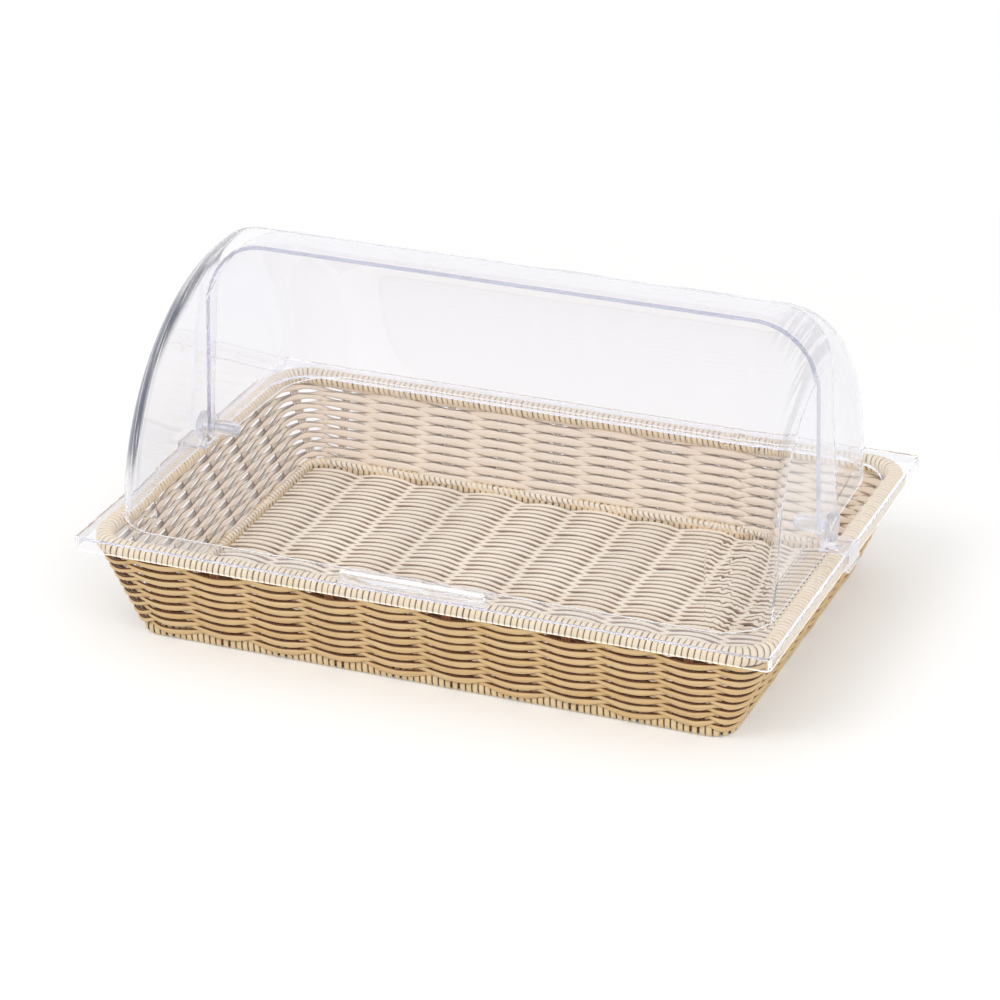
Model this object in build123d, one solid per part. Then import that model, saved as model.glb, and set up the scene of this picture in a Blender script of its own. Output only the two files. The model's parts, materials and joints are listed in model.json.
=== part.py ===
from build123d import *
import math
import os

# Countertop bread display bin: a woven tray basket, a clear frame that caps its rim, and two clear
# roll-top covers on one pivot line. Millimetres, +Z up, front at -Y. The origin is the centre of
# the basket's footprint on the counter.

# ---- clear frame ----
frame_length = 545.0
frame_width = 370.0
frame_corner_radius = 4.0
flange_thickness = 2.5
flange_side_width = 14.5
flange_front_width = 25.5
opening_radius = 36.0
skirt_depth = 10.5
skirt_thickness = 2.5
frame_edge_round = 0.8
tab_width = 8.0
tab_thickness = 2.5
tab_spacing = 312.0

# ---- basket ----
basket_height = 82.7
end_flare = 32.0
side_flare = 22.0
base_corner_radius = 19.0
border_width = 7.5
border_height = 9.5
border_round = 3.0
wall_thickness = 4.5
wall_foot_overhang = 1.5
rim_width = 13.0
rim_height = 12.0
rim_round = 4.5
rim_corner_radius = 34.0
rim_side_clearance = 1.0
rim_seat_clearance = 0.3
hoop_diameter = 5.0
base_hoop_diameter = 4.0
stake_diameter = 2.6
long_side_stake_margin = 28.2
short_side_stake_margin = 43.5
long_side_stake_count = 10
short_side_stake_count = 6
floor_bottom = 1.6
floor_thickness = 6.8
floor_waist = 2.8
edging_width = 4.5
edging_height = 4.5
edging_round = 1.5
weave_clearance = 0.05
piece_clearance = 0.1
sharpest_bend = 0.5
largest_round = 0.48
match_tolerance = 1e-4

# ---- roll-top covers ----
pivot_y = 6.0
pivot_height = 15.0
cover_wall = 3.0
cover_seat_clearance = 0.3
front_cover_lap = 2.0
front_cover_end_gap = 1.5
front_cover_corner_radius = 42.0
front_cover_draft = 0.062
front_cover_edge = 12.0
rear_cover_step = 8.0
rear_cover_end_step = 8.5
rear_cover_corner_radius = 49.0
rear_cover_draft = 0.028
rear_cover_edge = 9.0
ear_margin = 0.5
ear_blend = 3.5
ear_angle = 45.0

# ---- front handle ----
handle_length = 116.0
handle_taper = 2.0
handle_plate = 2.5
handle_height = 10.2
handle_bead = 3.2
thumb_pad_length = 96.0
thumb_pad_height = 6.0
thumb_pad_relief = 0.8

# ---- pivot fittings ----
bracket_width = 25.0
bracket_plate = 2.5
clip_drop = 14.0
clip_hook_reach = 2.2
post_width = 19.0
side_running_clearance = 0.5
pin_diameter = 6.0
pin_running_clearance = 0.05
pin_seat_clearance = 0.03
pin_head_diameter = 22.0
pin_head_thickness = 2.5
knob_diameter = 12.0
knob_length = 16.0
knob_tip_diameter = 9.0
knob_tip_length = 2.5

# ---- places that follow from the sizes above ----
frame_bottom = basket_height + rim_seat_clearance
frame_top = frame_bottom + flange_thickness
pivot_z = frame_top + pivot_height
rim_half_length = frame_length / 2 - skirt_thickness - rim_side_clearance
rim_half_width = frame_width / 2 - skirt_thickness - rim_side_clearance
rim_bottom = basket_height - rim_height
opening_half_length = frame_length / 2 - flange_side_width
opening_half_width = frame_width / 2 - flange_front_width
cover_bottom = frame_top + cover_seat_clearance
base_length = 2 * (rim_half_length - end_flare)
base_width = 2 * (rim_half_width - side_flare)
long_side_pitch = (base_length - 2 * long_side_stake_margin) / (long_side_stake_count - 1)
short_side_pitch = (base_width - 2 * short_side_stake_margin) / (short_side_stake_count - 1)
front_cover_radius = opening_half_width + pivot_y + front_cover_lap
front_cover_half_length = opening_half_length - front_cover_end_gap
rear_cover_radius = front_cover_radius - rear_cover_step
rear_cover_half_length = front_cover_half_length - rear_cover_end_step


def save(name, solids):
    """Write one sub-part, as a single solid or as a group of separate ones."""
    solids = list(solids)
    shape = solids[0] if len(solids) == 1 else Compound(children=solids)
    export_step(shape, os.path.join("parts", name + ".step"))


def rounded_prism(half_length, half_width, radius, bottom, height):
    outline = RectangleRounded(2 * half_length, 2 * half_width, radius)
    return Pos(0, 0, bottom) * extrude(outline, height)


def ring(half_length, half_width, radius, wall, bottom, height):
    """Upright band with an outer outline and a wall measured inwards."""
    inner_radius = max(radius - wall, sharpest_bend)
    outer = rounded_prism(half_length, half_width, radius, bottom, height)
    inner = rounded_prism(half_length - wall, half_width - wall, inner_radius, bottom, height)
    return outer - inner


def horizontal_edges(shape, bottom, top):
    """The edges that lie wholly in the bottom or the top plane of a ring."""
    picked = []
    for edge in shape.edges():
        box = edge.bounding_box()
        flat = box.max.Z - box.min.Z < match_tolerance
        if flat and min(abs(box.min.Z - bottom), abs(box.min.Z - top)) < match_tolerance:
            picked.append(edge)
    return picked


def rounded_ring(half_length, half_width, radius, wall, bottom, height, rounding):
    body = ring(half_length, half_width, radius, wall, bottom, height)
    limit = largest_round * min(wall, height)
    return fillet(horizontal_edges(body, bottom, bottom + height), min(rounding, limit))


def hoop(half_length, half_width, radius, z, diameter):
    """Round wire bent to a rounded rectangle: four straights and four quarter bends."""
    pieces = []
    straight_x = half_length - radius
    straight_y = half_width - radius
    for side in (-1, 1):
        rod = Cylinder(diameter / 2, 2 * straight_x)
        pieces.append(Pos(0, side * half_width, z) * Rot(0, 90, 0) * rod)
        rod = Cylinder(diameter / 2, 2 * straight_y)
        pieces.append(Pos(side * half_length, 0, z) * Rot(90, 0, 0) * rod)
    section = Plane.XZ * Pos(radius, 0) * Circle(diameter / 2)
    bend = revolve(section, Axis.Z, 90)
    for corner, (sx, sy) in enumerate(((1, 1), (-1, 1), (-1, -1), (1, -1))):
        pieces.append(Pos(sx * straight_x, sy * straight_y, z) * Rot(0, 0, 90 * corner) * bend)
    body = pieces[0]
    for piece in pieces[1:]:
        body = body + piece
    return body


# ---- basket: borders and hoops ----
rim_line_x = rim_half_length - rim_width / 2
rim_line_y = rim_half_width - rim_width / 2
rim_line_radius = rim_corner_radius - rim_width / 2
rim_line_z = rim_bottom + rim_height / 2
base_line_x = (base_length - border_width) / 2
base_line_y = (base_width - border_width) / 2
base_line_radius = base_corner_radius - border_width / 2
base_line_z = border_height / 2


def make_rim():
    wrap = rounded_ring(rim_half_length, rim_half_width, rim_corner_radius,
                        rim_width, rim_bottom, rim_height, rim_round)
    channel = hoop_diameter + 2 * weave_clearance
    wrap = wrap - hoop(rim_line_x, rim_line_y, rim_line_radius, rim_line_z, channel)
    wire = hoop(rim_line_x, rim_line_y, rim_line_radius, rim_line_z, hoop_diameter)
    return wrap, wire


def make_base_border():
    wrap = rounded_ring(base_length / 2, base_width / 2, base_corner_radius,
                        border_width, 0, border_height, border_round)
    channel = base_hoop_diameter + 2 * weave_clearance
    wrap = wrap - hoop(base_line_x, base_line_y, base_line_radius, base_line_z, channel)
    wire = hoop(base_line_x, base_line_y, base_line_radius, base_line_z, base_hoop_diameter)
    return wrap, wire


# ---- basket: flared walls ----
foot_x = base_length / 2 + wall_foot_overhang
foot_y = base_width / 2 + wall_foot_overhang
foot_radius = base_corner_radius + wall_foot_overhang
head_x = rim_line_x + wall_thickness / 2
head_y = rim_line_y + wall_thickness / 2
head_radius = rim_line_radius + wall_thickness / 2
wall_rise = rim_bottom - border_height


def flare(inset):
    """Tapered block between the border's top and the rim's underside, inset from the outside."""
    low = Pos(0, 0, border_height) * RectangleRounded(
        2 * (foot_x - inset), 2 * (foot_y - inset), foot_radius - inset)
    high = Pos(0, 0, rim_bottom) * RectangleRounded(
        2 * (head_x - inset), 2 * (head_y - inset), head_radius - inset)
    return loft([low, high], ruled=True)


def stake_line(side, offset, length_axis):
    """Foot and head of a stake in the middle of the wall; offset runs along the side."""
    middle = wall_thickness / 2
    if length_axis == "x":
        low = Vector(offset, side * (foot_y - middle), border_height)
        high = Vector(offset, side * (head_y - middle), rim_bottom)
    else:
        low = Vector(side * (foot_x - middle), offset, border_height)
        high = Vector(side * (head_x - middle), offset, rim_bottom)
    return low, high


def corner_line(sx, sy):
    """Foot and head of the stake that stands in the middle of a rounded corner."""
    diagonal = math.sqrt(0.5)
    low_reach = (foot_radius - wall_thickness / 2) * diagonal
    high_reach = (head_radius - wall_thickness / 2) * diagonal
    low = Vector(sx * (foot_x - foot_radius + low_reach),
                 sy * (foot_y - foot_radius + low_reach), border_height)
    high = Vector(sx * (head_x - head_radius + high_reach),
                  sy * (head_y - head_radius + high_reach), rim_bottom)
    return low, high


def rod_between(low, high, diameter, overrun):
    """Round rod on the line from low to high, running past both ends by overrun."""
    direction = (high - low).normalized()
    start = low - direction * overrun
    length = (high - low).length + 2 * overrun
    plane = Plane(origin=start, z_dir=direction)
    return extrude(plane * Circle(diameter / 2), length)


def spaced(count, pitch):
    return [pitch * (i - (count - 1) / 2) for i in range(count)]


def make_walls():
    shell = flare(0) - flare(wall_thickness)
    slab = Pos(0, 0, border_height) * Box(4 * foot_x, 4 * foot_y, wall_rise,
                                          align=(Align.CENTER, Align.CENTER, Align.MIN))
    split_x = foot_x - foot_radius
    split_y = foot_y - foot_radius
    groups = {"front": [], "back": [], "left": [], "right": [], "corner": []}
    lines = {
        "front": [stake_line(-1, x, "x") for x in spaced(long_side_stake_count, long_side_pitch)],
        "back": [stake_line(1, x, "x") for x in spaced(long_side_stake_count, long_side_pitch)],
        "left": [stake_line(-1, y, "y") for y in spaced(short_side_stake_count, short_side_pitch)],
        "right": [stake_line(1, y, "y") for y in spaced(short_side_stake_count, short_side_pitch)],
        "corner": [corner_line(sx, sy) for sx in (-1, 1) for sy in (-1, 1)],
    }
    middle_x = Box(2 * split_x, 4 * foot_y, 4 * basket_height)
    middle_y = Box(4 * foot_x, 2 * split_y, 4 * basket_height)
    long_sides = (shell & middle_x).solids()
    short_sides = (shell & middle_y).solids()
    corners = (shell - middle_x - middle_y).solids()
    panels = {
        "front": [s for s in long_sides if s.center().Y < 0],
        "back": [s for s in long_sides if s.center().Y > 0],
        "left": [s for s in short_sides if s.center().X < 0],
        "right": [s for s in short_sides if s.center().X > 0],
        "corner": list(corners),
    }
    for name, stakes in lines.items():
        bores = [rod_between(a, b, stake_diameter + 2 * weave_clearance, stake_diameter)
                 for a, b in stakes]
        for a, b in stakes:
            rod = rod_between(a, b, stake_diameter, stake_diameter)
            groups[name].append((rod & slab).solid())
        woven = []
        for panel in panels[name]:
            for bore in bores:
                panel = panel - bore
            woven.append(panel.solid())
        panels[name] = woven
    return panels, groups


# ---- basket: floor ----
def humps(middle, direction):
    """Upper or lower outline of the floor: one low arc over each floor stake."""
    waist = middle + direction * floor_waist / 2
    crest = middle + direction * floor_thickness / 2
    dips = spaced(long_side_stake_count + 1, long_side_pitch)
    return [ThreePointArc((a, waist), ((a + b) / 2, crest), (b, waist))
            for a, b in zip(dips[:-1], dips[1:])]


def make_floor():
    reach_x = base_length / 2 - border_width - piece_clearance
    reach_y = base_width / 2 - border_width - piece_clearance
    radius = base_corner_radius - border_width - piece_clearance
    middle = floor_bottom + floor_thickness / 2
    upper, lower = humps(middle, 1), humps(middle, -1)
    end_lines = [Line(upper[0] @ 0, lower[0] @ 0), Line(upper[-1] @ 1, lower[-1] @ 1)]
    outline = make_face(upper + lower + end_lines)
    slab = extrude(Plane.XZ * outline, reach_y, both=True)
    slab = slab & rounded_prism(reach_x, reach_y, radius, floor_bottom, floor_thickness)
    stakes = []
    for x in spaced(long_side_stake_count, long_side_pitch):
        bore = Cylinder(stake_diameter / 2 + weave_clearance, 3 * reach_y)
        slab = slab - Pos(x, 0, middle) * Rot(90, 0, 0) * bore
        rod = Cylinder(stake_diameter / 2, 2 * reach_y)
        stakes.append(Pos(x, 0, middle) * Rot(90, 0, 0) * rod)
    edging = rounded_ring(foot_x - wall_thickness - piece_clearance,
                          foot_y - wall_thickness - piece_clearance,
                          foot_radius - wall_thickness - piece_clearance,
                          edging_width, border_height, edging_height, edging_round)
    return slab, stakes, edging


# ---- clear frame ----
def make_frame():
    skirt_bottom = frame_top - skirt_depth
    body = rounded_prism(frame_length / 2, frame_width / 2, frame_corner_radius,
                         skirt_bottom, skirt_depth)
    outer_edges = horizontal_edges(body, frame_top, frame_top)
    body = fillet(outer_edges, frame_edge_round)
    hollow = rounded_prism(frame_length / 2 - skirt_thickness, frame_width / 2 - skirt_thickness,
                           max(frame_corner_radius - skirt_thickness, sharpest_bend),
                           skirt_bottom, skirt_depth - flange_thickness)
    opening = rounded_prism(opening_half_length, opening_half_width, opening_radius,
                            frame_bottom, flange_thickness)
    tabs = []
    for side in (-1, 1):
        tab = Box(tab_width, tab_thickness, skirt_depth - flange_thickness,
                  align=(Align.CENTER, Align.MIN, Align.MAX))
        tabs.append(Pos(side * tab_spacing / 2, opening_half_width, frame_bottom) * tab)
    return body - hollow - opening, tabs


# ---- roll-top covers ----
def drafted_block(inset):
    """Front cover's outside, or its inside with inset: a barrel between end walls that lean in."""
    top = front_cover_radius - inset
    end = front_cover_half_length - inset
    ear_top = front_cover_edge + ear_margin
    wide = end + front_cover_draft * (top + ear_top)
    narrow = end - front_cover_draft * (top - ear_top)
    outline = make_face(Polyline((-wide, -top), (wide, -top), (narrow, top), (-narrow, top), close=True))
    prism = extrude(Plane.XZ * outline, top, both=True)
    barrel = Rot(0, 90, 0) * Cylinder(top, 4 * wide)
    block = barrel & prism
    block = fillet(block.edges(), front_cover_corner_radius - inset)
    block = block & Box(2 * end, 4 * top, 4 * top)
    return Pos(0, pivot_y, pivot_z) * block


def turned_block(inset):
    """Rear cover's outside, or its inside with inset: a full turn about the pivot line."""
    top = rear_cover_radius - inset
    end = rear_cover_half_length - inset
    flat = pin_head_diameter / 2
    narrow = end - rear_cover_draft * (top - flat)
    points = [(-end, 0), (-end, flat), (-narrow, top), (narrow, top), (end, flat), (end, 0)]
    face = make_face(Polyline(*points, close=True))
    shoulders = [v for v in face.vertices() if v.Y > top - match_tolerance]
    face = fillet(shoulders, rear_cover_corner_radius - inset)
    return Pos(0, pivot_y, pivot_z) * revolve(face, Axis.X, 360)


def side_profile(radius, edge, direction):
    """What is left of the full turn, seen from the side. direction is -1 for the front cover."""
    low = cover_bottom - pivot_z
    far = direction * (radius + cover_wall)
    rise_y = direction * (bracket_width / 2 + ear_blend)
    top = radius + cover_wall
    ear = -direction * edge
    leave = math.radians(ear_angle)
    ear_point = (-ear * math.sin(leave), -edge * math.cos(leave))
    back_point = (ear * math.cos(leave / 2), -edge * math.sin(leave / 2))
    with BuildSketch() as sketch:
        with BuildLine():
            Polyline((ear, 0), (ear, top), (far, top), (far, low), (rise_y, low), ear_point)
            ThreePointArc(ear_point, back_point, (ear, 0))
        make_face()
    return sketch.sketch


def make_cover(block, radius, half_length, edge, direction):
    profile = side_profile(radius, edge, direction)
    upright = Plane(origin=(-2 * half_length, pivot_y, pivot_z), x_dir=(0, 1, 0), z_dir=(1, 0, 0))
    keep = extrude(upright * profile, 4 * half_length)
    bore = Cylinder(pin_diameter / 2 + pin_running_clearance, 4 * half_length)
    bore = Pos(0, pivot_y, pivot_z) * Rot(0, 90, 0) * bore
    shell = (block(0) & keep) - block(cover_wall)
    return (shell - bore).solid()


def make_front_handle():
    """Lip bonded to the front cover: a web over the flange, an upturned grip and a thumb pad."""
    front = -frame_width / 2 + thumb_pad_relief
    low = cover_bottom
    top = frame_top + handle_height
    web = Box(handle_length, frame_width / 2, handle_plate,
              align=(Align.CENTER, Align.MIN, Align.MIN))
    web = Pos(0, front, low) * web
    half = handle_length / 2
    grip_outline = Polyline((-half, low), (half, low), (half - handle_taper, top),
                            (-half + handle_taper, top), close=True)
    upright = Plane(origin=(0, front + handle_plate, 0), x_dir=(1, 0, 0), z_dir=(0, -1, 0))
    grip = extrude(upright * make_face(grip_outline), handle_plate)
    bead = Cylinder(handle_bead / 2, handle_length - 2 * handle_taper)
    bead_z = top - handle_bead / 2
    bead = Pos(0, front + handle_plate / 2, bead_z) * Rot(0, 90, 0) * bead
    pad_top = bead_z - handle_bead / 4
    pad = ThreePointArc((-thumb_pad_length / 2, pad_top), (0, pad_top - thumb_pad_height),
                        (thumb_pad_length / 2, pad_top))
    pad_line = Line((thumb_pad_length / 2, pad_top), (-thumb_pad_length / 2, pad_top))
    pad_face = make_face([pad, pad_line])
    face_plane = Plane(origin=(0, front + handle_plate / 2, 0), x_dir=(1, 0, 0), z_dir=(0, -1, 0))
    pad_body = extrude(face_plane * pad_face, handle_plate / 2 + thumb_pad_relief)
    barrel = Cylinder(front_cover_radius, 2 * handle_length)
    barrel = Pos(0, pivot_y, pivot_z) * Rot(0, 90, 0) * barrel
    return (web + grip + bead + pad_body - barrel).solid()


# ---- pivot fittings ----
front_inner_x = front_cover_half_length - cover_wall
post_outer_x = front_inner_x - side_running_clearance
post_inner_x = rear_cover_half_length + side_running_clearance
pin_head_x = front_cover_half_length + side_running_clearance
knob_start_x = rear_cover_half_length - cover_wall - side_running_clearance


def make_bracket(side):
    """Clip over the frame's short side, with a post that stands between the two end walls."""
    skirt_x = frame_length / 2
    outer_x = skirt_x + bracket_plate
    post_round = post_width / 2
    strap = Pos(post_inner_x, pivot_y, frame_top) * Box(
        outer_x - post_inner_x, bracket_width, bracket_plate,
        align=(Align.MIN, Align.CENTER, Align.MIN))
    clip = Pos(skirt_x, pivot_y, frame_top + bracket_plate) * Box(
        bracket_plate, bracket_width, bracket_plate + clip_drop,
        align=(Align.MIN, Align.CENTER, Align.MAX))
    hook_top = frame_top - skirt_depth
    hook = Pos(outer_x, pivot_y, hook_top) * Box(
        bracket_plate + clip_hook_reach, bracket_width, clip_drop - skirt_depth,
        align=(Align.MAX, Align.CENTER, Align.MAX))
    post_thickness = post_outer_x - post_inner_x
    post = Pos(post_inner_x, pivot_y, frame_top) * Box(
        post_thickness, post_width, pivot_height, align=(Align.MIN, Align.CENTER, Align.MIN))
    crown = Cylinder(post_round, post_thickness, align=(Align.CENTER, Align.CENTER, Align.MIN))
    crown = Pos(post_inner_x, pivot_y, pivot_z) * Rot(0, 90, 0) * crown
    bore = Pos(0, pivot_y, pivot_z) * Rot(0, 90, 0) * Cylinder(
        pin_diameter / 2 + pin_seat_clearance, 4 * frame_length)
    body = (strap + clip + hook + post + crown - bore).solid()
    return body if side > 0 else body.mirror(Plane.YZ)


def along_x(diameter, start_x, end_x):
    rod = Cylinder(diameter / 2, end_x - start_x, align=(Align.CENTER, Align.CENTER, Align.MIN))
    return Pos(start_x, pivot_y, pivot_z) * Rot(0, 90, 0) * rod


def make_pin(side):
    """Pivot pin with a broad flat head outside the front cover's end wall."""
    knob_end = knob_start_x - knob_length
    shaft = along_x(pin_diameter, knob_end, pin_head_x)
    head = along_x(pin_head_diameter, pin_head_x, pin_head_x + pin_head_thickness)
    body = (shaft + head).solid()
    return body if side > 0 else body.mirror(Plane.YZ)


def make_knob(side):
    """Sleeve nut that holds the pin's inner end, with a smaller end ring."""
    knob_end = knob_start_x - knob_length
    sleeve = along_x(knob_diameter, knob_end, knob_start_x)
    tip = along_x(knob_tip_diameter, knob_end - knob_tip_length, knob_end)
    bore = along_x(pin_diameter + 2 * pin_seat_clearance, knob_end, knob_start_x)
    body = (sleeve + tip - bore).solid()
    return body if side > 0 else body.mirror(Plane.YZ)


def main():
    os.makedirs("parts", exist_ok=True)
    wrap, wire = make_rim()
    save("rim_wrap", [wrap.solid()])
    save("rim_hoop", [wire.solid()])
    wrap, wire = make_base_border()
    save("base_border", [wrap.solid()])
    save("base_hoop", [wire.solid()])
    panels, stakes = make_walls()
    for name in panels:
        save(name + "_weave", panels[name])
        save(name + "_stakes", stakes[name])
    slab, rods, edging = make_floor()
    save("floor_weave", [slab.solid()])
    save("floor_stakes", [rod.solid() for rod in rods])
    save("floor_edging", [edging.solid()])
    frame, tabs = make_frame()
    save("clear_frame", [frame.solid()])
    save("locating_tabs", [tab.solid() for tab in tabs])
    save("front_cover", [make_cover(drafted_block, front_cover_radius, front_cover_half_length,
                                    front_cover_edge, -1)])
    save("rear_cover", [make_cover(turned_block, rear_cover_radius, rear_cover_half_length,
                                   rear_cover_edge, 1)])
    save("front_handle", [make_front_handle()])
    for name, side in (("left", -1), ("right", 1)):
        save("pivot_bracket_" + name, [make_bracket(side)])
        save("pivot_pin_" + name, [make_pin(side)])
        save("pin_knob_" + name, [make_knob(side)])


main()
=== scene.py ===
import json
import math

import bmesh
import bpy
import numpy as np
from mathutils import Matrix, Vector


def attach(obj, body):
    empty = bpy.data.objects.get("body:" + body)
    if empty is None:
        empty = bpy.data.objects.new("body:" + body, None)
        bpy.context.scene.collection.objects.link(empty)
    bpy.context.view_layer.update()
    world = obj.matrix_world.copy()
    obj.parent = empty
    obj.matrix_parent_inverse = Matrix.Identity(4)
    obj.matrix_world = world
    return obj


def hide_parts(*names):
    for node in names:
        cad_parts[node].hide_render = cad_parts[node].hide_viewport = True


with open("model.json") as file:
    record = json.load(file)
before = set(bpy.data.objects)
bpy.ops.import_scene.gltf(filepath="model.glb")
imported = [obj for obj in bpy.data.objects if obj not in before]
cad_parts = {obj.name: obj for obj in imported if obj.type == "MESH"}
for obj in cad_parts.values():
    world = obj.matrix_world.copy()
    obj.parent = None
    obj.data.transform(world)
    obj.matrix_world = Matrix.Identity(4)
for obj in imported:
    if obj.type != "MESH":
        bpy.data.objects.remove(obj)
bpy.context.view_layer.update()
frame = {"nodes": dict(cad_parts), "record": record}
nodes = frame["nodes"]
bodyOf = {node: body for body, members in frame["record"]["behaviour"]["bodies"].items() for node in members}
scene = bpy.context.scene
scene.view_settings.view_transform = "Standard"
mm = 0.001
random = np.random.RandomState(41)

# camera at the height of a shopper looking down on the counter
cameraSet = {
    "azimuth": 21.93,
    "elevation": 25.08,
    "roll": -0.22,
    "distance": 3.008,
    "aimHeight": 0.0855,
    "slide": -0.00426,
    "lift": -0.00366,
    "lens": 142.52,
    "sensor": 36,
    "clip": (0.1, 60),
}


def makeCamera(s):
    a, e, r = (math.radians(s[k]) for k in ("azimuth", "elevation", "roll"))
    back = Vector((math.sin(a) * math.cos(e), -math.cos(a) * math.cos(e), math.sin(e)))
    level = Vector((math.cos(a), math.sin(a), 0))
    rise = back.cross(level)
    right = level * math.cos(r) + rise * math.sin(r)
    up = rise * math.cos(r) - level * math.sin(r)
    data = bpy.data.cameras.new("counterView")
    data.lens = s["lens"]
    data.sensor_width = s["sensor"]
    data.clip_start, data.clip_end = s["clip"]
    camera = bpy.data.objects.new("counterView", data)
    scene.collection.objects.link(camera)
    place = back * s["distance"] + right * s["slide"] + up * s["lift"]
    place.z += s["aimHeight"]
    turn = Matrix((right, up, back)).transposed().to_4x4()
    camera.matrix_world = Matrix.Translation(place) @ turn
    scene.camera = camera


makeCamera(cameraSet)
print("camera ready")


def newMaterial(name):
    material = bpy.data.materials.new(name)
    material.use_nodes = True
    tree = material.node_tree
    tree.nodes.clear()
    return material, tree


def addNode(tree, kind, place, inputs=None, **values):
    # an input is given a value, or the socket that feeds it
    node = tree.nodes.new(kind)
    node.location = place
    for key, value in values.items():
        setattr(node, key, value)
    for key, value in (inputs or {}).items():
        if isinstance(value, bpy.types.NodeSocket):
            tree.links.new(value, node.inputs[key])
        else:
            node.inputs[key].default_value = value
    return node


def calculate(tree, place, operation, *values, clamp=False):
    inputs = dict(enumerate(values))
    return addNode(tree, "ShaderNodeMath", place, inputs, operation=operation, use_clamp=clamp).outputs[0]


def remap(tree, place, value, low, high, start=0.0, end=1.0, smooth=False):
    inputs = {"Value": value, "From Min": low, "From Max": high, "To Min": start, "To Max": end}
    kind = "SMOOTHSTEP" if smooth else "LINEAR"
    return addNode(tree, "ShaderNodeMapRange", place, inputs, interpolation_type=kind).outputs["Result"]


def blend(tree, place, amount, under, over):
    inputs = {"Factor": amount, "A": under, "B": over}
    return addNode(tree, "ShaderNodeMix", place, inputs, data_type="RGBA").outputs["Result"]


def scaled(tree, place, vector, amount):
    inputs = {"Vector": vector, "Scale": amount}
    return addNode(tree, "ShaderNodeVectorMath", place, inputs, operation="SCALE").outputs["Vector"]


def stretched(tree, place, vector, amounts):
    return addNode(tree, "ShaderNodeMapping", place, {"Vector": vector, "Scale": amounts}).outputs["Vector"]


def noise(tree, place, vector, scale, detail):
    inputs = {"Vector": vector, "Scale": scale, "Detail": detail}
    return addNode(tree, "ShaderNodeTexNoise", place, inputs).outputs["Fac"]


def attribute(tree, place, name):
    return addNode(tree, "ShaderNodeAttribute", place, attribute_name=name).outputs["Fac"]


def axes(tree, place, vector):
    return addNode(tree, "ShaderNodeSeparateXYZ", place, {"Vector": vector}).outputs


def spot(tree, place, kind="Object"):
    # X, Y and Z of the place that is shaded
    x, y = place
    return axes(tree, (x + 200, y), addNode(tree, "ShaderNodeTexCoord", place).outputs[kind])


def mixShader(tree, place, amount, under, over):
    return addNode(tree, "ShaderNodeMixShader", place, {0: amount, 1: under, 2: over}).outputs["Shader"]


def newGroup(name, inputs, outputs):
    # a value of four numbers makes a colour socket, and one number a plain one
    group = bpy.data.node_groups.new(name, "ShaderNodeTree")
    kinds = {True: "NodeSocketColor", False: "NodeSocketFloat"}
    for label, value in inputs.items():
        kind = kinds[isinstance(value, tuple)]
        group.interface.new_socket(label, in_out="INPUT", socket_type=kind).default_value = value
    for label in outputs:
        kind = kinds[label in ("Color", "Painted Highlight")]
        group.interface.new_socket(label, in_out="OUTPUT", socket_type=kind)
    return group, addNode(group, "NodeGroupInput", (-1500, 0)).outputs


strandSet = {
    # inner is the paler colour painted on the side that faces the bread, as painted light for the haze of the
    # covers
    "inner": (0.92, 0.8, 0.67, 1),
    "insideGapShadeEase": -0.6,  # how much lighter the painted gap shade is on the side that faces the bread
    "driftScale": 30.0,
    "driftDetail": 3,
    "driftShare": 0.7,
    "tones": (0.35, 1.15),
    "lineScale": 900.0,
    "lineDetail": 2,
    "lineStretch": (0.02, 1.0, 1.0),
    "lineShade": (0.3, 0.7, 0.9, 1.05),
    "gapFrom": 0.15,
    "rough": 0.58,
    "wear": 0.25,
    "relief": 0.0004,
    "reliefStrength": 0.35,
    "specular": 0.12,
}


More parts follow.
